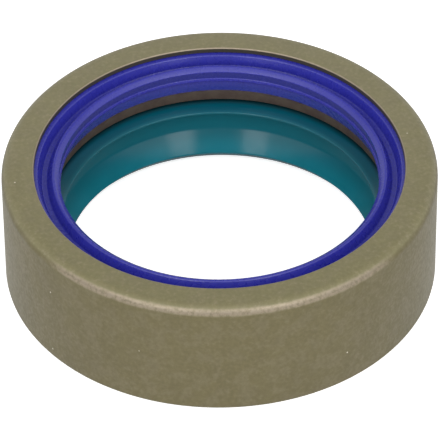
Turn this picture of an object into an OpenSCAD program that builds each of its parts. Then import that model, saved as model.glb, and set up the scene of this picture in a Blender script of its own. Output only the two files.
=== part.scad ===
// Oil seal for a wheel hub, with a dirt wiper on its outer side.
// The origin is at the centre of the lower rim, and +Z runs along the shaft to the outer side.
// Every piece is a section turned about the shaft. A section is a list of corners, and each
// corner is [distance from the shaft's axis, height, rounding radius].
// A gap is measured from the shaft's surface outwards, along the radius.

/* [Overall] */
// Diameter of the shaft
shaft_d = 65; // [55:0.5:80]
// Width of the seal between the shaft and the hub's bore
seal_w = 12.5; // [11.5:0.5:15]
// Height along the shaft
seal_h = 27; // [25.5:0.5:34]

/* [Outer case] */
// Sheet thickness of the case
case_t = 1.2; // [0.8:0.1:1.5]
// Outside radius of the drawn corner
case_corner_r = 2.2; // [1.8:0.1:3]
// Gap between the shaft and the flange
flange_gap = 5.75; // [5.25:0.25:6.5]
// Rounding of the upper edge of the flange's bore
flange_edge_r = 0.4; // [0.1:0.05:0.6]
// Thickness of the lower rim where it is rolled in
rim_t = 1; // [0.8:0.1:1.2]
// Reach of the rolled rim in from the wall
rim_reach = 1.5; // [1.3:0.1:2.2]
// Outside radius of the rolled rim
rim_corner_r = 0.9; // [0.5:0.1:1.1]
// Rounding of the rolled rim's inner edge
rim_nose_r = 0.35; // [0.1:0.05:0.35]

/* [Wiper ring] */
// Height of the wiper ring under the flange
wiper_h = 7.1; // [6.6:0.1:7.6]
// Reach of the wiper's rim inside the flange
wiper_rim_reach = 0.7; // [0.5:0.05:1]
// Rounding of the rim's inner edge
wiper_rim_r = 0.4; // [0.2:0.05:0.6]
// Step of the rim below the underside of the flange
wiper_rim_step = 0.25; // [0.1:0.05:0.4]
// Depth of the groove below the underside of the flange
wiper_groove_depth = 2.4; // [1.8:0.1:2.6]
// Width of the groove's outer flank
wiper_groove_outer_w = 0.8; // [0.6:0.05:1]
// Width of the groove's inner flank
wiper_groove_inner_w = 1.15; // [0.9:0.05:1.3]
// Rounding of the groove's corners
wiper_groove_r = 0.4; // [0.1:0.05:0.5]
// Gap between the shaft and the upper lip's crest
wiper_crest_gap = 1.9; // [1.7:0.05:2.1]
// Rounding of the upper lip's crest
wiper_crest_r = 0.5; // [0.2:0.05:0.6]
// Depth of the crest below the underside of the flange
wiper_crest_depth = 0.1; // [0.05:0.05:0.4]
// Gap between the shaft and the upper lip's edge
wiper_edge_gap = 0.6; // [0.5:0.05:0.8]
// Distance from the crest down to the upper lip's edge
wiper_edge_drop = 1.05; // [0.9:0.05:1.2]
// Rounding of the upper lip's edge
wiper_edge_r = 0.1; // [0.05:0.05:0.15]
// Gap between the shaft and the second wiping edge
scraper_gap = 0.35; // [0.1:0.05:0.4]
// Distance between the two wiping edges
scraper_pitch = 2.05; // [1.8:0.05:2.3]
// Height of the flat on the second wiping edge
scraper_land = 0.3; // [0.2:0.05:0.5]
// Depth of the relief under the upper lip's edge, which ends in a ledge above the second edge
wiper_relief_depth = 0.2; // [0.15:0.05:0.35]
// Rounding of that relief
wiper_relief_r = 0.3; // [0.1:0.05:0.3]
// Gap between the shaft and the wiper ring at its lower face
wiper_skirt_gap = 1.8; // [1.5:0.1:2.3]
// Rounding where the wiper ring's bore meets its lower face
wiper_skirt_r = 0.3; // [0.1:0.05:0.5]

/* [Spacer ring] */
// Sheet thickness of the spacer ring
spacer_t = 1.2; // [0.8:0.1:1.4]
// Height of the spacer ring's outer leg
spacer_h = 3.6; // [3.2:0.1:4.2]
// Gap between the shaft and the spacer ring's inner collar
collar_gap = 2.6; // [2.4:0.1:3]
// Height of the inner collar above the seal ring
collar_lift = 0.5; // [0.3:0.1:1]
// Outside radius of the spacer ring's bends
spacer_bend_r = 1.5; // [1.5:0.1:1.7]

/* [Seal insert] */
// Sheet thickness of the insert
insert_t = 1.2; // [0.8:0.1:1.4]
// Gap between the shaft and the insert's flange
insert_gap = 5.6; // [5.3:0.1:6.5]
// Outside radius of the insert's bend
insert_bend_r = 1.8; // [1.6:0.1:2.2]

/* [Seal ring] */
// Thickness of the rubber over the insert
rubber_coat = 0.7; // [0.5:0.1:0.9]
// Gap between the shaft and the root of the dust lip
dust_root_gap = 2.7; // [2.3:0.1:3]
// Rounding where the dust lip leaves the flat top
dust_root_r = 0.6; // [0.2:0.1:1]
// Overlap of the free dust lip with the shaft, on the radius
dust_lip_bite = 0.05; // [0:0.05:0.3]
// Depth of the dust lip's tip below the ring's top
dust_lip_drop = 1.05; // [0.9:0.05:1.4]
// Height of the dust lip's tip
dust_tip_h = 0.5; // [0.4:0.05:0.7]
// Rounding of the dust lip's tip
dust_tip_r = 0.2; // [0.1:0.05:0.2]
// Gap between the shaft and the neck, where the dust lip meets the flexible wall
neck_gap = 4.25; // [4:0.05:4.6]
// Rounding of the neck
neck_r = 0.75; // [0.4:0.05:1]
// Thickness of the flexible wall
flex_t = 1.3; // [1:0.05:1.5]
// Overlap of the free main lip with the shaft, on the radius
main_lip_bite = 0.6; // [0.3:0.05:0.8]
// Height of the flat that the main lip runs on
main_lip_land = 0.3; // [0.2:0.05:0.5]
// Lean of the lip's air side from the shaft, in degrees
air_side_lean = 33.5; // [31:0.5:36]
// Gap between the shaft and the knee, where the flexible wall meets the lip's air side
knee_gap = 2.25; // [2:0.05:2.5]
// Rounding of the knee
knee_r = 3; // [1:0.5:5]
// Height of the lip's lower end above the rim's face
lip_recess = 1.3; // [0.6:0.1:2]
// Height of the lip's slanting oil side
oil_side_h = 2; // [1.6:0.1:2.4]
// Width of the lip's slanting oil side
oil_side_w = 1.65; // [1.4:0.05:1.9]
// Thickness of the lip's head at the spring
head_t = 3; // [2.9:0.05:3.2]
// Rounding of the lip's lower end
head_r = 0.3; // [0.1:0.05:0.4]
// Rounding where the flexible wall meets its base
heel_r = 0.8; // [0.4:0.1:1.2]
// Height of the bare end of the insert's leg
bare_leg_h = 2.4; // [1.6:0.1:4]

/* [Garter spring] */
// Outside diameter of the spring's coil
spring_d = 1.9; // [1.6:0.05:2]
// Distance from the main lip's edge out to the coil's centre
spring_inset = 2.6; // [2.5:0.05:2.7]
// Height of the coil's centre above the main lip's edge
spring_offset = 0.4; // [0.2:0.05:0.6]
// Clearance between the coil and its groove
spring_clearance = 0.05; // [0.02:0.01:0.1]

/* [Hidden] */
$fn = 96;

// Steps in each rounded corner
corner_steps = 8;

// Radii of the shaft and the case
shaft_r = shaft_d / 2;
case_r = shaft_r + seal_w;
wall_r = case_r - case_t;
bore_r = shaft_r + flange_gap;
case_inner_corner_r = case_corner_r - case_t;

// Levels of the stack, from the flange down
flange_z = seal_h - case_t;
spacer_z = flange_z - wiper_h;
seal_z = spacer_z - spacer_h;
insert_z = seal_z - rubber_coat;

// Main lip, its spring and the spring's groove
lip_r = shaft_r - main_lip_bite;
edge_z = lip_recess + oil_side_h;
spring_r = lip_r + spring_inset;
spring_z = edge_z + spring_offset;
groove_r = spring_d / 2 + spring_clearance;

// Radii of the insert's leg
leg_inner_r = wall_r - insert_t;
leg_middle_r = wall_r - insert_t / 2;

// Rubber that closes the corner outside the insert's bend, as a share of the bend's radius
corner_fill = 0.5;

// Clearance of the wiper ring's upper corner to the case, and its reach under the flange
wiper_corner_clearance = 0.3;
wiper_tuck = 0.6;

// Points of the rounded corner b, between its neighbours a and c
function corner_points(a, b, c) =
    b[2] == 0 ? [[b[0], b[1]]] :
    let (
        here = [b[0], b[1]],
        before = [a[0], a[1]] - here,
        after = [c[0], c[1]] - here,
        u = before / norm(before),
        v = after / norm(after),
        half = acos(u * v) / 2,
        centre = here + (u + v) / norm(u + v) * b[2] / sin(half),
        start = here + u * b[2] / tan(half) - centre,
        side = sign(u[0] * v[1] - u[1] * v[0]),
        start_angle = atan2(start[1], start[0]),
        sweep = -side * (180 - 2 * half)
    )
    [
        for (i = [0 : corner_steps])
            let (angle = start_angle + sweep * i / corner_steps)
            centre + b[2] * [cos(angle), sin(angle)]
    ];

// Outline of a section, with its corners rounded
function rounded(corners) = let (n = len(corners)) [
    for (i = [0 : n - 1])
        each corner_points(corners[(i + n - 1) % n], corners[i], corners[(i + 1) % n])
];

// Section turned about the shaft
module turned(corners) {
    rotate_extrude()
        polygon(rounded(corners));
}

// Outer case: a drawn can with its flange on top and its lower rim rolled in
module outer_case() {
    rim_r = wall_r - rim_reach;
    color([0.51, 0.48, 0.36])
        turned([
            [rim_r, 0, rim_nose_r],
            [case_r, 0, rim_corner_r],
            [case_r, seal_h, case_corner_r],
            [bore_r, seal_h, flange_edge_r],
            [bore_r, flange_z, 0],
            [wall_r, flange_z, case_inner_corner_r],
            [wall_r, rim_t, 0],
            [rim_r, rim_t, rim_nose_r]
        ]);
}

// Wiper ring: one polyurethane moulding that fills the case from the flange to the spacer ring
module wiper_ring() {
    floor_z = flange_z - wiper_groove_depth;
    rim_r = bore_r - wiper_rim_reach;
    crest_r = shaft_r + wiper_crest_gap;
    edge_r = shaft_r + wiper_edge_gap;
    scraper_r = shaft_r + scraper_gap;
    crest_z = flange_z - wiper_crest_depth;
    upper_edge_z = crest_z - wiper_edge_drop;
    lower_edge_z = upper_edge_z - scraper_pitch;
    color([0.25, 0.24, 0.62])
        turned([
            [wall_r, spacer_z, 0],
            [wall_r, flange_z, case_inner_corner_r + wiper_corner_clearance],
            [bore_r + wiper_tuck, flange_z, 0],
            [rim_r, flange_z - wiper_rim_step, wiper_rim_r],
            [rim_r - wiper_groove_outer_w, floor_z, wiper_groove_r],
            [crest_r + wiper_groove_inner_w, floor_z, wiper_groove_r],
            [crest_r, crest_z, wiper_crest_r],
            [edge_r, upper_edge_z, wiper_edge_r],
            [edge_r + wiper_relief_depth, lower_edge_z + scraper_land / 2, wiper_relief_r],
            [scraper_r, lower_edge_z + scraper_land / 2, 0],
            [scraper_r, lower_edge_z - scraper_land / 2, 0],
            [shaft_r + wiper_skirt_gap, spacer_z, wiper_skirt_r]
        ]);
}

// Spacer ring: a pressed channel, open below, that carries the wiper ring on the seal ring
module spacer_ring() {
    collar_r = shaft_r + collar_gap;
    collar_z = seal_z + collar_lift;
    web_z = spacer_z - spacer_t;
    inner_bend_r = spacer_bend_r - spacer_t;
    color([0.27, 0.22, 0.2])
        turned([
            [wall_r, seal_z, 0],
            [wall_r, spacer_z, spacer_bend_r],
            [collar_r, spacer_z, spacer_bend_r],
            [collar_r, collar_z, 0],
            [collar_r + spacer_t, collar_z, 0],
            [collar_r + spacer_t, web_z, inner_bend_r],
            [wall_r - spacer_t, web_z, inner_bend_r],
            [wall_r - spacer_t, seal_z, 0]
        ]);
}

// Solid of the insert, which is also the space that it takes out of the rubber
module insert_solid() {
    insert_r = shaft_r + insert_gap;
    turned([
        [wall_r, rim_t, 0],
        [wall_r, insert_z, insert_bend_r],
        [insert_r, insert_z, 0],
        [insert_r, insert_z - insert_t, 0],
        [leg_inner_r, insert_z - insert_t, insert_bend_r - insert_t],
        [leg_inner_r, rim_t, 0]
    ]);
}

// Seal insert: an L-shaped ring whose leg stands on the rolled rim
module seal_insert() {
    color([0.36, 0.31, 0.27])
        insert_solid();
}

// Rubber moulded round the insert, before the insert and the spring's groove are taken out
module rubber_solid() {
    dust_r = shaft_r - dust_lip_bite;
    dust_z = seal_z - dust_lip_drop;
    tip_z = dust_z - dust_tip_h;
    under_z = insert_z - insert_t - rubber_coat;
    knee_pos_r = shaft_r + knee_gap;
    knee_z = edge_z + main_lip_land + (knee_pos_r - lip_r) / tan(air_side_lean);
    neck_pos_r = shaft_r + neck_gap;
    flex_lean = atan((neck_pos_r - knee_pos_r) / (tip_z - knee_z));
    middle_lean = (air_side_lean + flex_lean) / 2;
    knee_t = flex_t / cos((air_side_lean - flex_lean) / 2);
    back_r = knee_pos_r + knee_t * cos(middle_lean);
    back_z = knee_z - knee_t * sin(middle_lean);
    heel_pos_r = back_r + (under_z - back_z) * tan(flex_lean);
    head_back_r = lip_r + head_t;
    head_top_z = back_z - (back_r - head_back_r) / tan(air_side_lean);
    leg_coat_r = leg_inner_r - rubber_coat;
    coat_end_z = rim_t + bare_leg_h;
    fill_z = insert_z - insert_bend_r * corner_fill;
    turned([
        [wall_r, seal_z, 0],
        [shaft_r + dust_root_gap, seal_z, dust_root_r],
        [dust_r, dust_z, dust_tip_r],
        [dust_r, tip_z, dust_tip_r],
        [neck_pos_r, tip_z, neck_r],
        [knee_pos_r, knee_z, knee_r],
        [lip_r, edge_z + main_lip_land, 0],
        [lip_r, edge_z, 0],
        [lip_r + oil_side_w, lip_recess, head_r],
        [head_back_r, lip_recess, head_r],
        [head_back_r, head_top_z, head_r],
        [back_r, back_z, knee_r],
        [heel_pos_r, under_z, heel_r],
        [leg_coat_r, under_z, heel_r],
        [leg_coat_r, coat_end_z + rubber_coat, 0],
        [leg_inner_r, coat_end_z, 0],
        [leg_middle_r, coat_end_z, 0],
        [leg_middle_r, fill_z, 0],
        [wall_r, fill_z, 0]
    ]);
}

// Seal ring: rubber bonded to the insert, with a dust lip above the spring-loaded main lip
module seal_ring() {
    color([0.07, 0.36, 0.41])
        difference() {
            rubber_solid();
            insert_solid();
            spring_torus(groove_r);
        }
}

// Torus about the shaft at the garter spring's place
module spring_torus(r) {
    rotate_extrude()
        translate([spring_r, spring_z])
            circle(r = r);
}

// Garter spring: the outer form of the closely wound coil
module garter_spring() {
    color([0.62, 0.63, 0.65])
        spring_torus(spring_d / 2);
}

outer_case();
wiper_ring();
spacer_ring();
seal_insert();
seal_ring();
garter_spring();
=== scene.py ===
"""Wheel hub oil seal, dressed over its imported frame.

Every turned piece is made again from the section that the frame has, with finer
roundings and smoother circles, and the garter spring gets its real turns of wire.
Sizes are in millimetres until a mesh is made. Meshes and the studio are in metres.
"""

from __future__ import annotations

import logging
import math
from dataclasses import dataclass
from enum import Enum
from functools import cached_property
from typing import ClassVar, Optional, Sequence, Union

import bmesh
import bpy
from mathutils import Matrix, Vector

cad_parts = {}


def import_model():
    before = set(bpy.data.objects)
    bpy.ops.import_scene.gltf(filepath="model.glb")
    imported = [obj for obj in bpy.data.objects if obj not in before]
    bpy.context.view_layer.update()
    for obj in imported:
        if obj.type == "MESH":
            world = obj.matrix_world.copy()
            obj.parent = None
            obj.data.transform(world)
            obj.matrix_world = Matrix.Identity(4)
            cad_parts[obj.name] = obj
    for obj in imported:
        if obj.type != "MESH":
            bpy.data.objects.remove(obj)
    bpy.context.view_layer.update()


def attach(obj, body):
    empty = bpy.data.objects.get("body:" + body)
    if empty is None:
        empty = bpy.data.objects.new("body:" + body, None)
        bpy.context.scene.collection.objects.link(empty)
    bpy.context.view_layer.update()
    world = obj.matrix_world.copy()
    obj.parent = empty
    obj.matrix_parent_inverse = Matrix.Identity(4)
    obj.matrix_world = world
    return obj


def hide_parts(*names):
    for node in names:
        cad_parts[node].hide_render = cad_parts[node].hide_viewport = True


LOG = logging.getLogger("hub_seal")
MM = 0.001

Socket = bpy.types.NodeSocket
Value = Union[float, Socket]
Paint = Union[Value, Sequence[float]]
Span = tuple[float, float]

FULL: Span = (0.0, 1.0)  # the whole of a mask
FALLING: Span = (1.0, 0.0)  # a mask that falls
MOST: Span = (0.3, 0.7)  # what nearly all of a noise lies in
WHITE = (1.0, 1.0, 1.0, 1.0)
CHANNEL_TOP = 255

# the sRGB curve: end and slope of its straight foot, shift and power of the rest
SRGB_KNEE, SRGB_SLOPE, SRGB_SHIFT, SRGB_POWER = 0.04045, 12.92, 0.055, 2.4


class Slot(Enum):
    """Material slots of the pieces."""

    CASE_STEEL = "case_steel"
    WIPER_POLYURETHANE = "wiper_polyurethane"
    COATED_STEEL = "coated_steel"
    INSERT_STEEL = "insert_steel"
    SEAL_RUBBER = "seal_rubber"
    SPRING_STEEL = "spring_steel"


class Sum(Enum):
    """Sums that a node board can do."""

    ADD = "ADD"
    SUBTRACT = "SUBTRACT"
    MULTIPLY = "MULTIPLY"
    POWER = "POWER"
    MORE = "GREATER_THAN"
    GREATER = "MAXIMUM"


class Ramp(Enum):
    """Ways for a window to go from one end to the other."""

    STRAIGHT = "LINEAR"
    SMOOTH = "SMOOTHSTEP"


class Blend(Enum):
    """What a mix node mixes: its data type, its two inputs and its output."""

    NUMBER = ("FLOAT", 2, 3, 0)
    COLOUR = ("RGBA", 6, 7, 2)


# colours, noises and node boards


@dataclass(frozen=True)
class Tone:
    """A colour as it looks on a screen, 0 to 255 a channel."""

    red: float
    green: float
    blue: float

    @property
    def linear(self) -> tuple[float, float, float, float]:
        """The colour as a shader takes it, by the sRGB curve.

        Returns:
            Red, green, blue and a full alpha.
        """
        steps = (channel / CHANNEL_TOP for channel in (self.red, self.green, self.blue))
        light = (
            step / SRGB_SLOPE
            if step <= SRGB_KNEE
            else ((step + SRGB_SHIFT) / (1 + SRGB_SHIFT)) ** SRGB_POWER
            for step in steps
        )
        return (*light, 1.0)


@dataclass(frozen=True)
class Noise:
    """A noise: size in millimetres, number of finer layers, their weight, and the span used."""

    size: float
    detail: float = 2.0
    weight: float = 0.5
    span: Span = MOST


@dataclass(frozen=True)
class Flecks:
    """Round flecks, scattered over cells whose pitch is in millimetres.

    Share is how many of the cells hold one. A fleck's radius is a share of the pitch, and its
    core is the solid share of that radius.
    """

    pitch: float
    radius: float
    share: float
    strength: float = 1.0
    core: float = 0.6


class NodeBoard:
    """A node tree that is filled from empty, with the nodes that finishes and studio share."""

    def __init__(self, tree: bpy.types.NodeTree) -> None:
        """Clears the tree.

        Args:
            tree: The node tree.
        """
        self.nodes = tree.nodes
        self.links = tree.links
        self.nodes.clear()

    def feed(self, socket: Socket, value: Paint) -> None:
        """Links a socket to another, or sets its value.

        Args:
            socket: The input.
            value: An output socket, a number or a colour.
        """
        if isinstance(value, bpy.types.NodeSocket):
            self.links.new(value, socket)
        else:
            socket.default_value = value

    def coordinates(self, kind: str) -> Socket:
        """Adds the coordinates of a kind, by the socket's name."""
        return self.nodes.new("ShaderNodeTexCoord").outputs[kind]

    def split(self, place: Socket) -> tuple[Socket, Socket, Socket]:
        """Splits a place.

        Args:
            place: The place.

        Returns:
            Its x, y and z.
        """
        node = self.nodes.new("ShaderNodeSeparateXYZ")
        self.feed(node.inputs[0], place)
        x, y, z = node.outputs
        return x, y, z

    def sum(self, kind: Sum, first: Value, second: Value) -> Socket:
        """Adds a math node.

        Args:
            kind: What it does.
            first: Its first value.
            second: Its second value.

        Returns:
            The result.
        """
        node = self.nodes.new("ShaderNodeMath")
        node.operation = kind.value
        self.feed(node.inputs[0], first)
        self.feed(node.inputs[1], second)
        return node.outputs[0]

    def product(self, first: Value, *others: Value) -> Value:
        """Multiplies masks.

        Args:
            first: The first mask.
            others: The other masks.

        Returns:
            Their product.
        """
        for other in others:
            first = self.sum(Sum.MULTIPLY, first, other)
        return first

    def window(self, value: Value, span: Span, to: Span = FULL, ramp: Ramp = Ramp.SMOOTH) -> Socket:
        """Maps a value from one span to another, and stops at its ends.

        Args:
            value: The value.
            span: Its start and end.
            to: The results there.
            ramp: How it goes from one to the other.

        Returns:
            The mapped value.
        """
        node = self.nodes.new("ShaderNodeMapRange")
        node.interpolation_type = ramp.value
        for name, number in zip(("From Min", "From Max", "To Min", "To Max"), (*span, *to)):
            node.inputs[name].default_value = number
        self.feed(node.inputs["Value"], value)
        return node.outputs["Result"]

    def mix(self, share: Value, first: Paint, second: Paint, kind: Blend = Blend.COLOUR) -> Socket:
        """Mixes two colours or numbers.

        Args:
            share: Share of the second.
            first: The first.
            second: The second.
            kind: Which of the two they are.

        Returns:
            The mixture.
        """
        data_type, first_input, second_input, output = kind.value
        node = self.nodes.new("ShaderNodeMix")
        node.data_type = data_type
        self.feed(node.inputs[0], share)
        self.feed(node.inputs[first_input], first)
        self.feed(node.inputs[second_input], second)
        return node.outputs[output]


class FinishBoard(NodeBoard):
    """The node board of a finish, which ends in a Principled shader."""

    def __init__(self, name: str) -> None:
        """Starts an empty finish.

        Args:
            name: Name of the material.
        """
        self.material = bpy.data.materials.new(name)
        self.material.use_nodes = True
        super().__init__(self.material.node_tree)
        self.shader = self.nodes.new("ShaderNodeBsdfPrincipled")
        output = self.nodes.new("ShaderNodeOutputMaterial")
        self.links.new(self.shader.outputs["BSDF"], output.inputs["Surface"])
        self.place = self.coordinates("Object")

    def stretched(self, up: float) -> Socket:
        """Scales the piece's own coordinates along the shaft.

        Args:
            up: The scale.

        Returns:
            The coordinates.
        """
        node = self.nodes.new("ShaderNodeMapping")
        node.inputs["Scale"].default_value = (1.0, 1.0, up)
        self.feed(node.inputs["Vector"], self.place)
        return node.outputs["Vector"]

    def noise(self, noise: Noise, place: Optional[Socket] = None) -> Socket:
        """Adds a noise.

        Args:
            noise: What it is like.
            place: Coordinates, or else the piece's own.

        Returns:
            The noise, around 0.5.
        """
        node = self.nodes.new("ShaderNodeTexNoise")
        node.inputs["Scale"].default_value = 1 / (noise.size * MM)
        node.inputs["Detail"].default_value = noise.detail
        node.inputs["Roughness"].default_value = noise.weight
        self.feed(node.inputs["Vector"], place or self.place)
        return node.outputs["Fac"]

    def flecks(self, flecks: Flecks) -> Value:
        """Scatters round flecks.

        Args:
            flecks: What they are like.

        Returns:
            A mask that is strong on the flecks.
        """
        node = self.nodes.new("ShaderNodeTexVoronoi")
        node.inputs["Scale"].default_value = 1 / (flecks.pitch * MM)
        self.feed(node.inputs["Vector"], self.place)
        cell = self.nodes.new("ShaderNodeSeparateColor")
        self.feed(cell.inputs[0], node.outputs["Color"])
        chosen = self.sum(Sum.MORE, cell.outputs[0], 1 - flecks.share)
        edge = (flecks.radius * flecks.core, flecks.radius)
        near = self.window(node.outputs["Distance"], edge, FALLING)
        return self.product(chosen, near, flecks.strength)

    @cached_property
    def around(self) -> tuple[Socket, Socket, Socket]:
        """Measures the piece round the shaft, when it is first asked for.

        Returns:
            Distance from the shaft's axis, height, and place from front to back, in metres.
        """
        x, y, z = self.split(self.place)
        squares = self.sum(Sum.ADD, self.product(x, x), self.product(y, y))
        return self.sum(Sum.POWER, squares, 0.5), z, y

    def band(self, measure: Socket, span: Span, to: Span = FULL) -> Socket:
        """Makes a mask that changes over a band of the piece.

        Args:
            measure: Distance from the axis, height or depth, in metres.
            span: Where it starts and ends to change, in millimetres.
            to: What it is there.

        Returns:
            The mask.
        """
        return self.window(measure, (span[0] * MM, span[1] * MM), to)

    def shaded(self, colour: Socket, shade: Socket) -> Socket:
        """Darkens a colour.

        Args:
            colour: The colour.
            shade: What it is multiplied by.

        Returns:
            The darker colour.
        """
        node = self.nodes.new("ShaderNodeVectorMath")
        node.operation = "SCALE"
        self.feed(node.inputs[0], colour)
        self.feed(node.inputs["Scale"], shade)
        return node.outputs[0]

    def relief(self, height: Socket, depth: float, under: Optional[Socket] = None) -> Socket:
        """Adds a bump.

        Args:
            height: The relief, 0 to 1.
            depth: Its depth in millimetres.
            under: A bump that it lies on.

        Returns:
            The bent normal.
        """
        node = self.nodes.new("ShaderNodeBump")
        node.inputs["Strength"].default_value = 1.0
        node.inputs["Distance"].default_value = depth * MM
        self.feed(node.inputs["Height"], height)
        if under is not None:
            self.feed(node.inputs["Normal"], under)
        return node.outputs["Normal"]

    def finish(
        self, colour: Socket, roughness: Value, normal: Socket, metallic: Value = 0.0
    ) -> bpy.types.Material:
        """Feeds the shader.

        Args:
            colour: Base colour.
            roughness: Roughness.
            normal: The bent normal.
            metallic: 0 for a coat, 1 for bare metal.

        Returns:
            The material.
        """
        names = ("Base Color", "Roughness", "Normal", "Metallic")
        for name, value in zip(names, (colour, roughness, normal, metallic)):
            self.feed(self.shader.inputs[name], value)
        return self.material


# finishes


@dataclass(frozen=True)
class PhosphateFinish:
    """Olive phosphate on drawn steel: satin, mottled and flecked, with painted light and shade.

    The corner's front and the bore's top edge are lighter as painted highlights, the bore edge
    partly burnished too, and the grain carries painted glints. The wall, the flange's front half
    and the cut face in the bore are darker as painted shade. Bands are in millimetres, by
    distance from the axis, height, or depth from front to back.
    """

    name: str = "olive_phosphate"
    top: Tone = Tone(137, 131, 98)
    # painted shade: the flange's front half is darker and yellower than its back
    shaded_front_top: Tone = Tone(130, 124, 89)
    # painted shade: the wall's tone is darker than the top's, though both are one coat
    wall: Tone = Tone(107, 99, 66)
    patch: Tone = Tone(132, 123, 104)
    fleck: Tone = Tone(215, 208, 192)
    # painted highlight: the lighter tone of the corner's front, the bore's top edge and the glints
    rub_and_highlight: Tone = Tone(171, 158, 138)
    # painted shade: the cut face in the flange's bore is dark
    cut: Tone = Tone(70, 65, 53)
    streaks: Noise = Noise(4.5, 4.0, 0.6, (0.36, 0.64))
    streak_scale: float = 0.3
    streak_shade: Span = (0.95, 1.0)
    clouds: Noise = Noise(3.2, 4.0, 0.65, (0.42, 0.62))
    cloud_share: Span = (0.0, 0.17)
    grain: Noise = Noise(0.8, 2.0, 0.6)
    grain_shade: Span = (0.93, 1.04)
    grain_depth: float = 0.02
    glints: Span = (0.55, 0.8)
    glint_share: Span = (0.0, 0.25)
    glint_on_wall: Span = (1.0, 0.2)
    # grain of the painted highlight on the corner's front
    highlight_grain: Span = (0.3, 0.6)
    highlight_share: Span = (0.45, 1.0)
    skin: Noise = Noise(0.28, 1.0)
    skin_depth: float = 0.006
    flecks: Flecks = Flecks(1.5, 0.14, 0.015)
    roughness: Span = (0.5, 0.42)
    metal: Span = (0.12, 0.75)
    wall_band: Span = (44.3, 44.9)
    depth_band: Span = (-44.3, 44.3)
    # the corner band that gets the painted highlight, on the front only
    corner_reach: Span = (44.0, 44.5)
    corner_height: Span = (24.9, 25.7)
    corner_front: Span = (-34.0, -27.0)
    # in the bore, the cut face below cut_height gets the painted shade, and the top edge above it
    # the painted highlight
    bore_edge: Span = (38.45, 38.55)
    cut_height: Span = (26.75, 26.81)

    def coat(self, board: FinishBoard, grain: Socket) -> Socket:
        """Gives the coat's colour, with painted shade and glints, outside the highlights.

        Args:
            board: The finish's node board.
            grain: The coat's grain.

        Returns:
            The colour.
        """
        radius, _, depth = board.around
        streaks = board.noise(self.streaks, board.stretched(self.streak_scale))
        clouds = board.window(board.noise(self.clouds), self.clouds.span, self.cloud_share)
        on_wall = board.band(radius, self.wall_band)
        # painted shade: the flange is darker and yellower towards the front
        in_front = board.band(depth, self.depth_band, FALLING)
        top = board.mix(in_front, self.top.linear, self.shaded_front_top.linear)
        # painted shade: the wall takes its darker tone
        colour = board.mix(on_wall, top, self.wall.linear)
        colour = board.mix(clouds, colour, self.patch.linear)
        streak_shade = board.window(streaks, self.streaks.span, self.streak_shade)
        grain_shade = board.window(grain, self.grain.span, self.grain_shade)
        colour = board.shaded(board.shaded(colour, streak_shade), grain_shade)
        glints = board.window(grain, self.glints, self.glint_share)
        glints = board.product(glints, board.window(on_wall, FULL, self.glint_on_wall))
        return board.mix(glints, colour, self.rub_and_highlight.linear)

    def shade_and_highlights(self, board: FinishBoard, grain: Socket) -> tuple[Socket, Socket]:
        """Finds where shade and highlights are painted on the case's edges.

        Args:
            board: The finish's node board.
            grain: The coat's grain.

        Returns:
            The mask of the cut face in the bore, painted dark as shade, and the mask of the
            corner's front and the bore's top edge, painted light as highlights, the bore edge
            partly burnished.
        """
        radius, height, depth = board.around
        corner = board.product(
            board.band(radius, self.corner_reach),
            board.band(height, self.corner_height),
            board.band(depth, self.corner_front, FALLING),
        )
        in_bore = board.band(radius, self.bore_edge, FALLING)
        above_cut = board.band(height, self.cut_height)
        # painted shade on the cut face in the bore
        cut = board.product(in_bore, board.sum(Sum.SUBTRACT, 1.0, above_cut))
        # painted highlight on the corner's front; the bore's top edge is partly burnished and
        # partly a painted highlight
        corner_highlight = board.product(corner, board.window(grain, self.highlight_grain, self.highlight_share))
        return cut, board.sum(Sum.GREATER, corner_highlight, board.product(in_bore, above_cut))

    def material(self) -> bpy.types.Material:
        """Builds the finish.

        Returns:
            The material.
        """
        board = FinishBoard(self.name)
        grain = board.noise(self.grain)
        cut, rubbed_and_highlit = self.shade_and_highlights(board, grain)
        # painted shade on the cut face in the bore
        colour = board.mix(cut, self.coat(board, grain), self.cut.linear)
        # painted highlights on the corner's front and the bore's top edge
        colour = board.mix(rubbed_and_highlit, colour, self.rub_and_highlight.linear)
        colour = board.mix(board.flecks(self.flecks), colour, self.fleck.linear)
        roughness = board.window(grain, self.grain.span, self.roughness)
        normal = board.relief(grain, self.grain_depth)
        normal = board.relief(board.noise(self.skin), self.skin_depth, normal)
        metal = board.window(rubbed_and_highlit, FULL, self.metal)
        return board.finish(colour, roughness, normal, metal)


@dataclass(frozen=True)
class MouldedFinish:
    """A moulded elastomer: one colour with faint clouds, a fine skin and a little dust."""

    name: str
    body: Tone
    cloud: Tone
    dust: Tone
    roughness: Span
    skin_depth: float
    wave_depth: float
    specular: float
    clouds: Noise = Noise(7.0, 3.0, span=(0.35, 0.65))
    skin: Noise = Noise(1.5, 1.0)
    waves: Noise = Noise(6.0, 1.0)
    flecks: Flecks = Flecks(2.2, 0.07, 0.035, 0.6)

    def paint(self, board: FinishBoard) -> Socket:
        """Gives the colour under the dust.

        Args:
            board: The finish's node board.

        Returns:
            The colour.
        """
        share = board.window(board.noise(self.clouds), self.clouds.span)
        return board.mix(share, self.cloud.linear, self.body.linear)

    def material(self) -> bpy.types.Material:
        """Builds the finish.

        Returns:
            The material.
        """
        board = FinishBoard(self.name)
        skin = board.noise(self.skin)
        colour = board.mix(board.flecks(self.flecks), self.paint(board), self.dust.linear)
        roughness = board.window(skin, self.skin.span, self.roughness)
        normal = board.relief(board.noise(self.waves), self.wave_depth)
        normal = board.relief(skin, self.skin_depth, normal)
        board.shader.inputs["Specular IOR Level"].default_value = self.specular
        return board.finish(colour, roughness, normal)


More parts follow.
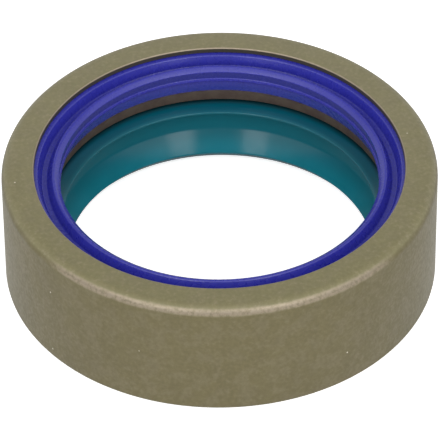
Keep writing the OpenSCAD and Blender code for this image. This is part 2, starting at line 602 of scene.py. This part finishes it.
@dataclass(frozen=True)
class LippedFinish(MouldedFinish):
    """A moulded elastomer with painted shade: darker up its flexible wall and on its dust lip.

    A painted shadow lies at the dust lip's root. Bands are by height, in millimetres.
    """

    # painted shade: darker up the flexible wall
    wall: Tone = Tone(24, 101, 114)
    wall_band: Span = (4.0, 8.0)
    # painted shade: darker on the dust lip
    shaded_dust_lip: Tone = Tone(5, 82, 97)
    dust_lip_band: Span = (14.0, 14.4)
    # painted shadow at the dust lip's root, under the collar
    root_shadow: Tone = Tone(11, 34, 37)
    root_shadow_band: Span = (14.7, 15.2)
    root_shadow_share: Span = (0.0, 0.9)

    def paint(self, board: FinishBoard) -> Socket:
        """Gives the colour under the dust, with its painted shade and shadow, by height.

        Args:
            board: The finish's node board.

        Returns:
            The colour.
        """
        _, height, _ = board.around
        on_wall = board.band(height, self.wall_band)
        on_dust_lip = board.band(height, self.dust_lip_band)
        at_root = board.band(height, self.root_shadow_band, self.root_shadow_share)
        # painted shade: darker up the flexible wall
        colour = board.mix(on_wall, super().paint(board), self.wall.linear)
        # painted shade: darker on the dust lip
        colour = board.mix(on_dust_lip, colour, self.shaded_dust_lip.linear)
        # painted shadow at the dust lip's root
        return board.mix(at_root, colour, self.root_shadow.linear)


@dataclass(frozen=True)
class SkirtedFinish(MouldedFinish):
    """A moulded elastomer with painted light on its skirt and painted shade in its relief.

    Bands are by height, and the reach by distance from the axis, in millimetres.
    """

    # painted light: the skirt is paler than the body
    skirt: Tone = Tone(58, 61, 170)
    skirt_band: Span = (21.6, 22.2)
    # painted shade: the relief under the upper lip is darker and duller
    relief: Tone = Tone(43, 48, 136)
    relief_foot: Span = (22.8, 23.1)
    relief_head: Span = (24.3, 24.6)
    relief_reach: Span = (33.4, 33.6)

    def paint(self, board: FinishBoard) -> Socket:
        """Gives the colour under the dust, by height and distance from the axis.

        The skirt is painted lighter as light, and the relief darker as shade.

        Args:
            board: The finish's node board.

        Returns:
            The colour.
        """
        radius, height, _ = board.around
        on_skirt = board.band(height, self.skirt_band, FALLING)
        in_relief = board.product(
            board.band(height, self.relief_foot),
            board.band(height, self.relief_head, FALLING),
            board.band(radius, self.relief_reach, FALLING),
        )
        # painted light: the skirt is paler
        colour = board.mix(on_skirt, super().paint(board), self.skirt.linear)
        # painted shade in the relief
        return board.mix(in_relief, colour, self.relief.linear)


@dataclass(frozen=True)
class CoatedFinish:
    """Bonding agent brushed on sheet steel: matt and blotchy."""

    name: str
    body: Tone
    blotch: Tone
    roughness: Span
    blotches: Noise = Noise(3.0, 4.0, 0.65, (0.35, 0.62))
    grain: Noise = Noise(0.4)
    grain_depth: float = 0.015

    def material(self) -> bpy.types.Material:
        """Builds the finish.

        Returns:
            The material.
        """
        board = FinishBoard(self.name)
        blotches = board.noise(self.blotches)
        share = board.window(blotches, self.blotches.span)
        colour = board.mix(share, self.blotch.linear, self.body.linear)
        roughness = board.window(blotches, MOST, self.roughness)
        normal = board.relief(board.noise(self.grain), self.grain_depth)
        return board.finish(colour, roughness, normal)


@dataclass(frozen=True)
class WireFinish:
    """Drawn spring wire with a trace of oil."""

    name: str = "drawn_wire"
    body: Tone = Tone(196, 195, 192)
    stain: Tone = Tone(150, 143, 132)
    roughness: Span = (0.23, 0.4)
    stains: Noise = Noise(5.0, 3.0, span=(0.45, 0.7))
    scratches: Noise = Noise(0.15, 1.0)
    scratch_depth: float = 0.002

    def material(self) -> bpy.types.Material:
        """Builds the finish.

        Returns:
            The material.
        """
        board = FinishBoard(self.name)
        stains = board.noise(self.stains)
        share = board.window(stains, self.stains.span)
        colour = board.mix(share, self.body.linear, self.stain.linear)
        roughness = board.window(stains, MOST, self.roughness)
        normal = board.relief(board.noise(self.scratches), self.scratch_depth)
        return board.finish(colour, roughness, normal, metallic=1.0)


# pieces


@dataclass(frozen=True)
class Corner:
    """A corner of a turned section: distance from the axis, height and rounding, in millimetres."""

    radius: float
    height: float
    rounding: float = 0.0

    @property
    def point(self) -> Vector:
        """The corner in the XZ plane, in metres."""
        return Vector((self.radius, 0.0, self.height)) * MM


@dataclass
class Piece:
    """A piece of the seal that stands for one node of the frame."""

    NODE: ClassVar[str] = ""
    SLOT: ClassVar[Slot] = Slot.CASE_STEEL

    def mesh(self) -> bpy.types.Mesh:
        """Makes the piece's mesh, which each kind of piece does its own way."""
        raise NotImplementedError

    def material(self) -> bpy.types.Material:
        """Makes the piece's finish, which each kind of piece does its own way."""
        raise NotImplementedError

    def build(self) -> bpy.types.Object:
        """Makes and dresses the piece, and gives it to the frame.

        Returns:
            The piece.
        """
        mesh = self.mesh()
        mesh.materials.append(self.material())
        piece = bpy.data.objects.new(f"{self.NODE}_piece", mesh)
        bpy.context.scene.collection.objects.link(piece)
        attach(piece, "root")
        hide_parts(self.NODE)
        LOG.info("%s: %d faces, finish %s", piece.name, len(mesh.polygons), mesh.materials[0].name)
        return piece


@dataclass
class TurnedRing(Piece):
    """A ring that is turned from a section with rounded corners.

    Steps are of the full turn, segments of one rounding. The sharp angle is in degrees, and
    the distance under which points are merged is in metres.
    """

    steps: int = 240
    arc_segments: int = 6
    small_rounding: float = 0.15
    small_arc_segments: int = 3
    sharp_angle: float = 38.0
    merge: float = 1e-7

    def corners(self) -> Sequence[Corner]:
        """Gives the section's corners in order, which each ring does its own way."""
        raise NotImplementedError

    @staticmethod
    def reach(before: Corner, corner: Corner, after: Corner) -> float:
        """Measures how far a rounding reaches along the edges of its corner.

        Args:
            before: The corner before it.
            corner: The corner.
            after: The corner after it.

        Returns:
            The reach in metres.
        """
        angle = (before.point - corner.point).angle(after.point - corner.point)
        return corner.rounding * MM / math.tan(angle / 2)

    def section(self, work: bmesh.types.BMesh) -> None:
        """Draws the section with its corners rounded.

        Args:
            work: The mesh that it is drawn in.
        """
        corners = list(self.corners())
        points = [work.verts.new(corner.point) for corner in corners]
        work.faces.new(points)
        for i, (corner, point) in enumerate(zip(corners, points)):
            if corner.rounding == 0.0:
                continue
            small = corner.rounding <= self.small_rounding
            bmesh.ops.bevel(
                work,
                geom=[point],
                offset=self.reach(corners[i - 1], corner, corners[(i + 1) % len(corners)]),
                offset_type="OFFSET",
                profile_type="SUPERELLIPSE",
                segments=self.small_arc_segments if small else self.arc_segments,
                profile=0.5,
                affect="VERTICES",
                clamp_overlap=False,
                material=-1,
            )
        bmesh.ops.delete(work, geom=work.faces[:], context="FACES_ONLY")

    def mesh(self) -> bpy.types.Mesh:
        """Spins the section once round the shaft.

        Returns:
            The ring's mesh.
        """
        work = bmesh.new()
        self.section(work)
        bmesh.ops.spin(
            work,
            geom=work.verts[:] + work.edges[:],
            cent=(0.0, 0.0, 0.0),
            axis=(0.0, 0.0, 1.0),
            angle=math.tau,
            steps=self.steps,
            use_merge=True,
            use_duplicate=False,
        )
        bmesh.ops.remove_doubles(work, verts=work.verts[:], dist=self.merge)
        bmesh.ops.recalc_face_normals(work, faces=work.faces[:])
        for face in work.faces:
            face.smooth = True
        mesh = bpy.data.meshes.new(f"{self.NODE}_mesh")
        work.to_mesh(mesh)
        work.free()
        mesh.set_sharp_from_angle(angle=math.radians(self.sharp_angle))
        return mesh


@dataclass
class OuterCase(TurnedRing):
    """The drawn can with its flange on top and its lower rim rolled in."""

    NODE: ClassVar[str] = "outer_case"
    SLOT: ClassVar[Slot] = Slot.CASE_STEEL

    radius: float = 45.0
    height: float = 27.0
    sheet: float = 1.2
    corner_r: float = 2.2
    flange_bore_r: float = 38.25
    flange_edge_r: float = 0.4
    rim: float = 1.0
    rim_reach: float = 1.5
    rim_corner_r: float = 0.9
    rim_nose_r: float = 0.35
    arris: float = 0.08
    arc_segments: int = 10

    def corners(self) -> Sequence[Corner]:
        """Gives the section of the case.

        Returns:
            The corners in order.
        """
        wall = self.radius - self.sheet
        under = self.height - self.sheet
        nose = wall - self.rim_reach
        return (
            Corner(nose, 0.0, self.rim_nose_r),
            Corner(self.radius, 0.0, self.rim_corner_r),
            Corner(self.radius, self.height, self.corner_r),
            Corner(self.flange_bore_r, self.height, self.flange_edge_r),
            Corner(self.flange_bore_r, under, self.arris),
            Corner(wall, under, self.corner_r - self.sheet),
            Corner(wall, self.rim),
            Corner(nose, self.rim, self.rim_nose_r),
        )

    def material(self) -> bpy.types.Material:
        """Gives the case its olive phosphate."""
        return PhosphateFinish().material()


@dataclass
class WiperRing(TurnedRing):
    """The blue polyurethane wiper, with its rim, groove, two lips and skirt."""

    NODE: ClassVar[str] = "wiper_ring"
    SLOT: ClassVar[Slot] = Slot.WIPER_POLYURETHANE

    wall_r: float = 43.8
    under: float = 25.8
    foot: float = 18.7
    foot_rounding: float = 0.1
    shoulder_rounding: float = 1.3
    tuck_r: float = 38.85
    rim_r: float = 37.55
    rim_height: float = 25.55
    groove_height: float = 23.4
    groove_outer_r: float = 36.75
    groove_inner_r: float = 35.55
    groove_rounding: float = 0.4
    crest_r: float = 34.4
    crest_height: float = 25.7
    crest_rounding: float = 0.5
    edge_r: float = 33.1
    edge_height: float = 24.65
    edge_rounding: float = 0.1
    relief_r: float = 33.3
    relief_rounding: float = 0.3
    scraper_r: float = 32.85
    scraper_height: float = 22.6
    scraper_land: float = 0.3
    scraper_rounding: float = 0.06
    skirt_r: float = 34.3
    skirt_rounding: float = 0.3

    def corners(self) -> Sequence[Corner]:
        """Gives the section of the wiper ring.

        Returns:
            The corners in order.
        """
        land_top = self.scraper_height + self.scraper_land / 2
        land_foot = self.scraper_height - self.scraper_land / 2
        return (
            Corner(self.wall_r, self.foot, self.foot_rounding),
            Corner(self.wall_r, self.under, self.shoulder_rounding),
            Corner(self.tuck_r, self.under),
            Corner(self.rim_r, self.rim_height, self.groove_rounding),
            Corner(self.groove_outer_r, self.groove_height, self.groove_rounding),
            Corner(self.groove_inner_r, self.groove_height, self.groove_rounding),
            Corner(self.crest_r, self.crest_height, self.crest_rounding),
            Corner(self.edge_r, self.edge_height, self.edge_rounding),
            Corner(self.relief_r, land_top, self.relief_rounding),
            Corner(self.scraper_r, land_top, self.scraper_rounding),
            Corner(self.scraper_r, land_foot, self.scraper_rounding),
            Corner(self.skirt_r, self.foot, self.skirt_rounding),
        )

    def material(self) -> bpy.types.Material:
        """Gives the wiper its blue polyurethane.

        Returns:
            The material.
        """
        return SkirtedFinish(
            name="blue_polyurethane",
            body=Tone(45, 47, 158),
            cloud=Tone(43, 45, 154),
            dust=Tone(140, 140, 190),
            roughness=(0.25, 0.3),
            skin_depth=0.0002,
            wave_depth=0.008,
            specular=0.7,
        ).material()


@dataclass
class SpacerRing(TurnedRing):
    """The pressed channel between the wiper ring and the seal ring."""

    NODE: ClassVar[str] = "spacer_ring"
    SLOT: ClassVar[Slot] = Slot.COATED_STEEL

    wall_r: float = 43.8
    top: float = 18.7
    foot: float = 15.1
    collar_r: float = 35.1
    collar_foot: float = 15.6
    sheet: float = 1.2
    bend_r: float = 1.5
    arris: float = 0.1

    def corners(self) -> Sequence[Corner]:
        """Gives the section of the spacer ring.

        Returns:
            The corners in order.
        """
        web = self.top - self.sheet
        inner_bend = self.bend_r - self.sheet
        return (
            Corner(self.wall_r, self.foot, self.arris),
            Corner(self.wall_r, self.top, self.bend_r),
            Corner(self.collar_r, self.top, self.bend_r),
            Corner(self.collar_r, self.collar_foot, self.arris),
            Corner(self.collar_r + self.sheet, self.collar_foot, self.arris),
            Corner(self.collar_r + self.sheet, web, inner_bend),
            Corner(self.wall_r - self.sheet, web, inner_bend),
            Corner(self.wall_r - self.sheet, self.foot, self.arris),
        )

    def material(self) -> bpy.types.Material:
        """Gives the spacer its brown coat.

        Returns:
            The material.
        """
        return CoatedFinish(
            name="brown_bonding_agent",
            body=Tone(84, 72, 61),
            blotch=Tone(74, 60, 53),
            roughness=(0.72, 0.55),
        ).material()


@dataclass
class SealInsert(TurnedRing):
    """The L-shaped steel ring that the green rubber is bonded to."""

    NODE: ClassVar[str] = "seal_insert"
    SLOT: ClassVar[Slot] = Slot.INSERT_STEEL

    wall_r: float = 43.8
    foot: float = 1.0
    top: float = 14.4
    bore_r: float = 38.1
    sheet: float = 1.2
    bend_r: float = 1.8
    arris: float = 0.1

    def corners(self) -> Sequence[Corner]:
        """Gives the section of the insert.

        Returns:
            The corners in order.
        """
        leg = self.wall_r - self.sheet
        under = self.top - self.sheet
        return (
            Corner(self.wall_r, self.foot, self.arris),
            Corner(self.wall_r, self.top, self.bend_r),
            Corner(self.bore_r, self.top),
            Corner(self.bore_r, under),
            Corner(leg, under, self.bend_r - self.sheet),
            Corner(leg, self.foot, self.arris),
        )

    def material(self) -> bpy.types.Material:
        """Gives the insert its thin coat.

        Returns:
            The material.
        """
        return CoatedFinish(
            name="thin_bonding_agent",
            body=Tone(104, 90, 78),
            blotch=Tone(86, 74, 64),
            roughness=(0.62, 0.45),
        ).material()


@dataclass
class SealRing(TurnedRing):
    """The green rubber with its dust lip, flexible wall, main lip and spring groove.

    The lean of the main lip and the turn of the insert's bend that the rubber fills are in
    degrees.
    """

    NODE: ClassVar[str] = "seal_ring"
    SLOT: ClassVar[Slot] = Slot.SEAL_RUBBER

    wall_r: float = 43.8
    top: float = 15.1
    top_rounding: float = 0.05
    dust_root_r: float = 35.2
    dust_root_rounding: float = 0.6
    dust_lip_r: float = 32.45
    dust_height: float = 14.05
    dust_tip: float = 0.5
    dust_rounding: float = 0.2
    neck_r: float = 36.75
    neck_rounding: float = 0.75
    knee_r: float = 34.75
    knee_rounding: float = 3.0
    flex: float = 1.3
    lean: float = 33.5
    lip_r: float = 31.9
    lip_height: float = 3.3
    lip_land: float = 0.3
    lip_rounding: float = 0.08
    lip_foot: float = 1.3
    oil_side: float = 1.65
    head: float = 3.0
    head_rounding: float = 0.3
    groove_r: float = 1.0
    spring_r: float = 34.5
    spring_height: float = 3.7
    heel_rounding: float = 0.8
    coat: float = 0.7
    coat_foot: float = 3.4
    coat_rounding: float = 0.15
    insert_top: float = 14.4
    insert_sheet: float = 1.2
    insert_bore_r: float = 38.1
    insert_bend_r: float = 1.8
    filled_bend: float = 60.0
    arc_segments: int = 8

    def groove(self, back_r: float) -> list[Corner]:
        """Gives the spring's groove as three equal arcs, from its lower edge to its upper one.

        Args:
            back_r: Radius of the head's back, where the groove opens.

        Returns:
            The corners.
        """
        opening = math.acos((back_r - self.spring_r) / self.groove_r)
        span = (math.tau - 2 * opening) / 3
        reach = self.groove_r / math.cos(span / 2)
        edge = self.groove_r * math.sin(opening)
        middle = [
            Corner(
                self.spring_r - reach * math.cos(k * span),
                self.spring_height - reach * math.sin(k * span),
                self.groove_r,
            )
            for k in (1, 0, -1)
        ]
        return [
            Corner(back_r, self.spring_height - edge),
            *middle,
            Corner(back_r, self.spring_height + edge),
        ]

    def bed(self) -> list[Corner]:
        """Gives the rubber on the insert, from its leg's inside over its top to the case.

        Returns:
            The corners.
        """
        under = self.insert_top - self.insert_sheet
        leg_r = self.wall_r - self.insert_sheet
        bend_r = self.insert_bend_r
        centre_r = self.wall_r - bend_r
        end = math.radians(self.filled_bend)
        fill_height = self.insert_top - bend_r * (1 - math.cos(end))
        return [
            Corner(leg_r - self.coat, under - self.coat, self.heel_rounding),
            Corner(leg_r - self.coat, self.coat_foot + self.coat, self.coat_rounding),
            Corner(leg_r, self.coat_foot),
            Corner(leg_r, under, bend_r - self.insert_sheet),
            Corner(self.insert_bore_r, under),
            Corner(self.insert_bore_r, self.insert_top),
            Corner(centre_r + bend_r * math.tan(end / 2), self.insert_top, bend_r),
            Corner(centre_r + bend_r * math.sin(end), fill_height),
            Corner(self.wall_r, fill_height),
        ]

    def corners(self) -> Sequence[Corner]:
        """Gives the section of the rubber, with the insert's channel left open.

        Returns:
            The corners in order.
        """
        lean = math.radians(self.lean)
        edge_top = self.lip_height + self.lip_land
        neck_height = self.dust_height - self.dust_tip
        knee_height = edge_top + (self.knee_r - self.lip_r) / math.tan(lean)
        flex_lean = math.atan((self.neck_r - self.knee_r) / (neck_height - knee_height))
        middle_lean = (lean + flex_lean) / 2
        knee_wall = self.flex / math.cos((lean - flex_lean) / 2)
        back_r = self.knee_r + knee_wall * math.cos(middle_lean)
        back_height = knee_height - knee_wall * math.sin(middle_lean)
        head_r = self.lip_r + self.head
        head_top = back_height - (back_r - head_r) / math.tan(lean)
        heel_height = self.insert_top - self.insert_sheet - self.coat
        heel_r = back_r + (heel_height - back_height) * math.tan(flex_lean)
        return (
            Corner(self.wall_r, self.top, self.top_rounding),
            Corner(self.dust_root_r, self.top, self.dust_root_rounding),
            Corner(self.dust_lip_r, self.dust_height, self.dust_rounding),
            Corner(self.dust_lip_r, neck_height, self.dust_rounding),
            Corner(self.neck_r, neck_height, self.neck_rounding),
            Corner(self.knee_r, knee_height, self.knee_rounding),
            Corner(self.lip_r, edge_top, self.lip_rounding),
            Corner(self.lip_r, self.lip_height, self.lip_rounding),
            Corner(self.lip_r + self.oil_side, self.lip_foot, self.head_rounding),
            Corner(head_r, self.lip_foot, self.head_rounding),
            *self.groove(head_r),
            Corner(head_r, head_top, self.head_rounding),
            Corner(back_r, back_height, self.knee_rounding),
            Corner(heel_r, heel_height, self.heel_rounding),
            *self.bed(),
        )

    def material(self) -> bpy.types.Material:
        """Gives the seal ring its green rubber.

        Returns:
            The material.
        """
        return LippedFinish(
            name="green_rubber",
            body=Tone(22, 119, 134),
            cloud=Tone(20, 115, 129),
            dust=Tone(110, 160, 165),
            roughness=(0.14, 0.19),
            skin_depth=0.0012,
            wave_depth=0.01,
            specular=0.42,
        ).material()


@dataclass
class GarterSpring(Piece):
    """The endless coil of wire that holds the main lip to the shaft."""

    NODE: ClassVar[str] = "garter_spring"
    SLOT: ClassVar[Slot] = Slot.SPRING_STEEL

    ring_r: float = 34.5
    height: float = 3.7
    coil_d: float = 1.9
    wire_d: float = 0.45
    points_per_turn: int = 12
    wire_resolution: int = 1

    def mesh(self) -> bpy.types.Mesh:
        """Winds the wire round the ring and gives it its thickness.

        Returns:
            The spring's mesh.
        """
        turns = int(math.tau * self.ring_r / self.wire_d)
        count = turns * self.points_per_turn
        coil_r = (self.coil_d - self.wire_d) / 2
        wire = bpy.data.curves.new("garter_wire", "CURVE")
        wire.dimensions = "3D"
        wire.bevel_depth = self.wire_d / 2 * MM
        wire.bevel_resolution = self.wire_resolution
        spline = wire.splines.new("POLY")
        spline.points.add(count - 1)
        for i, point in enumerate(spline.points):
            along = math.tau * i / count
            across = along * turns
            radius = self.ring_r + coil_r * math.cos(across)
            height = self.height + coil_r * math.sin(across)
            place = Vector((radius * math.cos(along), radius * math.sin(along), height))
            point.co = (*(place * MM), 1.0)
        spline.use_cyclic_u = True
        holder = bpy.data.objects.new("garter_wire", wire)
        mesh = bpy.data.meshes.new_from_object(holder)
        bpy.data.objects.remove(holder)
        bpy.data.curves.remove(wire)
        mesh.name = f"{self.NODE}_mesh"
        mesh.shade_smooth()
        return mesh

    def material(self) -> bpy.types.Material:
        """Gives the spring its drawn wire."""
        return WireFinish().material()


# studio


@dataclass(frozen=True)
class Softbox:
    """A softbox that is aimed at the seal.

    Angles are in degrees: azimuth from the camera's side, positive to its right, and
    elevation from the floor. Lengths are in metres. One that is not mirrored lights the
    seal without showing in its gloss.
    """

    name: str
    azimuth: float
    elevation: float
    width: float
    height: float
    radiance: float
    distance: float = 1.0
    mirrored: bool = True

    def place(self, target: Vector) -> bpy.types.Object:
        """Hangs the softbox.

        Args:
            target: The point that it is aimed at.

        Returns:
            The light.
        """
        azimuth, elevation = math.radians(self.azimuth), math.radians(self.elevation)
        away = Vector(
            (
                math.sin(azimuth) * math.cos(elevation),
                -math.cos(azimuth) * math.cos(elevation),
                math.sin(elevation),
            )
        )
        lamp = bpy.data.lights.new(self.name, "AREA")
        lamp.shape = "RECTANGLE"
        lamp.size, lamp.size_y = self.width, self.height
        lamp.energy = self.radiance * math.pi * self.width * self.height
        light = bpy.data.objects.new(self.name, lamp)
        light.location = target + away * self.distance
        light.rotation_euler = (-away).to_track_quat("-Z", "Y").to_euler()
        light.visible_camera = False
        light.visible_glossy = self.mirrored
        bpy.context.scene.collection.objects.link(light)
        LOG.info("%s: radiance %.2f", self.name, self.radiance)
        return light


@dataclass(frozen=True)
class PhotoCamera:
    """The photograph's camera, found from the rings in it.

    Angles are in degrees, the sensor is in millimetres, and other lengths are in metres.
    """

    focal_pixels: float = 4527.5
    frame_pixels: float = 440.0
    sensor_width: float = 36.0
    clip: Span = (0.01, 20.0)
    distance: float = 0.94225
    elevation: float = 40.80
    roll: float = -0.614
    target: tuple[float, float, float] = (-0.00002, 0.0, 0.01181)

    def place(self) -> bpy.types.Object:
        """Puts up the camera and makes it the scene's own.

        Returns:
            The camera.
        """
        elevation = math.radians(self.elevation)
        away = Vector((0.0, -math.cos(elevation), math.sin(elevation)))
        lens = bpy.data.cameras.new("photo_camera")
        lens.sensor_width = self.sensor_width
        lens.lens = self.sensor_width * self.focal_pixels / self.frame_pixels
        lens.clip_start, lens.clip_end = self.clip
        camera = bpy.data.objects.new("photo_camera", lens)
        level = (-away).to_track_quat("-Z", "Y").to_matrix()
        turned = level @ Matrix.Rotation(math.radians(self.roll), 3, "Z")
        camera.rotation_euler = turned.to_euler()
        camera.location = Vector(self.target) + away * self.distance
        bpy.context.scene.collection.objects.link(camera)
        bpy.context.scene.camera = camera
        return camera


@dataclass(frozen=True)
class Studio:
    """The white floor, the room round it, its lights and the camera.

    Levels are strengths, where 1 is white. The room's fades are by direction: behind_fade from
    front to back, the other two by height, from 0 at the horizon to 1 overhead. Lengths are in
    metres. In reflections the floor goes from the first level of floor_mirrored inside the bore
    to its second outside, over bore_fade, a distance from the shaft's axis.
    """

    backdrop: float = 0.8
    room: float = 0.15
    ceiling: float = 0.4
    behind_fade: Span = (-0.3, 0.3)
    backdrop_fade: Span = (0.5, 0.68)
    ceiling_fade: Span = (0.55, 0.95)
    floor_size: float = 6.0
    floor_gap: float = 0.0001
    floor_white: float = 0.85
    floor_seen: float = 0.75
    floor_mirrored: Span = (0.2, 0.95)
    bore_fade: Span = (0.034, 0.047)
    aim: tuple[float, float, float] = (0.0, 0.0, 0.0135)
    softboxes: tuple[Softbox, ...] = (
        Softbox(
            "softbox_left", azimuth=-24.2, elevation=27.0, width=0.26, height=0.5, radiance=2.4
        ),
        Softbox(
            "softbox_right", azimuth=25.4, elevation=27.0, width=0.27, height=0.5, radiance=2.4
        ),
        Softbox("wing_left", azimuth=-66.0, elevation=38.0, width=1.2, height=0.8, radiance=0.65),
        Softbox("wing_right", azimuth=67.0, elevation=38.0, width=1.2, height=0.8, radiance=0.65),
        Softbox(
            "softbox_front", azimuth=0.0, elevation=50.0, width=1.4, height=0.4, radiance=1.15
        ),
        Softbox(
            "softbox_above",
            azimuth=0.0,
            elevation=70.0,
            width=1.8,
            height=0.5,
            radiance=0.62,
            distance=1.03,
        ),
        Softbox(
            "front_fill",
            azimuth=0.0,
            elevation=22.0,
            width=2.6,
            height=0.9,
            radiance=1.05,
            distance=1.2,
            mirrored=False,
        ),
    )

    def light_room(self) -> None:
        """Lights the room: pale low behind the seal, dim elsewhere, and white to the camera."""
        world = bpy.data.worlds.new("studio")
        world.use_nodes = True
        board = NodeBoard(world.node_tree)
        _, depth, height = board.split(board.coordinates("Generated"))
        low = board.window(height, self.backdrop_fade, (self.backdrop, self.room))
        behind = board.window(depth, self.behind_fade)
        overhead = board.window(height, self.ceiling_fade)
        level = board.mix(behind, self.room, low, Blend.NUMBER)
        level = board.mix(overhead, level, self.ceiling, Blend.NUMBER)
        to_camera = board.nodes.new("ShaderNodeLightPath").outputs["Is Camera Ray"]
        glow = board.nodes.new("ShaderNodeBackground")
        board.feed(glow.inputs["Color"], WHITE)
        board.feed(glow.inputs["Strength"], board.mix(to_camera, level, 1.0, Blend.NUMBER))
        output = board.nodes.new("ShaderNodeOutputWorld")
        board.feed(output.inputs["Surface"], glow.outputs[0])
        bpy.context.scene.world = world

    def floor_material(self) -> bpy.types.Material:
        """Makes the floor pale with the seal's shadow, lifted to white for the camera.

        In reflections it is a plain image of a white floor, darker inside the bore as a painted
        shadow of the seal.

        Returns:
            The material.
        """
        material = bpy.data.materials.new("white_floor")
        material.use_nodes = True
        board = NodeBoard(material.node_tree)
        rays = board.nodes.new("ShaderNodeLightPath").outputs
        paint = board.nodes.new("ShaderNodeBsdfDiffuse")
        board.feed(paint.inputs["Color"], (self.floor_white,) * 3 + (1.0,))
        lift = board.nodes.new("ShaderNodeEmission")
        board.feed(lift.inputs["Strength"], board.product(rays["Is Camera Ray"], self.floor_seen))
        lifted = board.nodes.new("ShaderNodeAddShader")
        board.feed(lifted.inputs[0], paint.outputs[0])
        board.feed(lifted.inputs[1], lift.outputs[0])
        away = board.nodes.new("ShaderNodeVectorMath")
        away.operation = "LENGTH"
        board.feed(away.inputs[0], board.coordinates("Object"))
        # painted shadow of the seal on the floor, seen only in reflections
        shade = board.window(
            away.outputs["Value"], self.bore_fade, self.floor_mirrored, Ramp.STRAIGHT
        )
        image = board.nodes.new("ShaderNodeEmission")
        board.feed(image.inputs["Strength"], shade)
        mirrored = board.sum(Sum.GREATER, rays["Is Glossy Ray"], rays["Is Transmission Ray"])
        choice = board.nodes.new("ShaderNodeMixShader")
        board.feed(choice.inputs[0], mirrored)
        board.feed(choice.inputs[1], lifted.outputs[0])
        board.feed(choice.inputs[2], image.outputs[0])
        output = board.nodes.new("ShaderNodeOutputMaterial")
        board.feed(output.inputs["Surface"], choice.outputs[0])
        return material

    def lay_floor(self) -> bpy.types.Object:
        """Lays the pale floor just under the seal.

        Returns:
            The floor.
        """
        work = bmesh.new()
        bmesh.ops.create_grid(work, x_segments=1, y_segments=1, size=self.floor_size / 2)
        mesh = bpy.data.meshes.new("floor_mesh")
        work.to_mesh(mesh)
        work.free()
        mesh.materials.append(self.floor_material())
        floor = bpy.data.objects.new("floor", mesh)
        floor.location = (0.0, 0.0, -self.floor_gap)
        bpy.context.scene.collection.objects.link(floor)
        return floor

    def set_up(self) -> None:
        """Puts up the whole studio."""
        self.light_room()
        self.lay_floor()
        for softbox in self.softboxes:
            softbox.place(Vector(self.aim))
        PhotoCamera().place()
        bpy.context.scene.view_settings.view_transform = "Standard"


def main() -> None:
    """Builds every piece of the seal over the frame, and the studio round it."""
    logging.basicConfig(level=logging.INFO, format="%(message)s")
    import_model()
    for piece in (OuterCase(), WiperRing(), SpacerRing(), SealInsert(), SealRing(), GarterSpring()):
        piece.build()
    Studio().set_up()


if __name__ == "__main__":
    main()
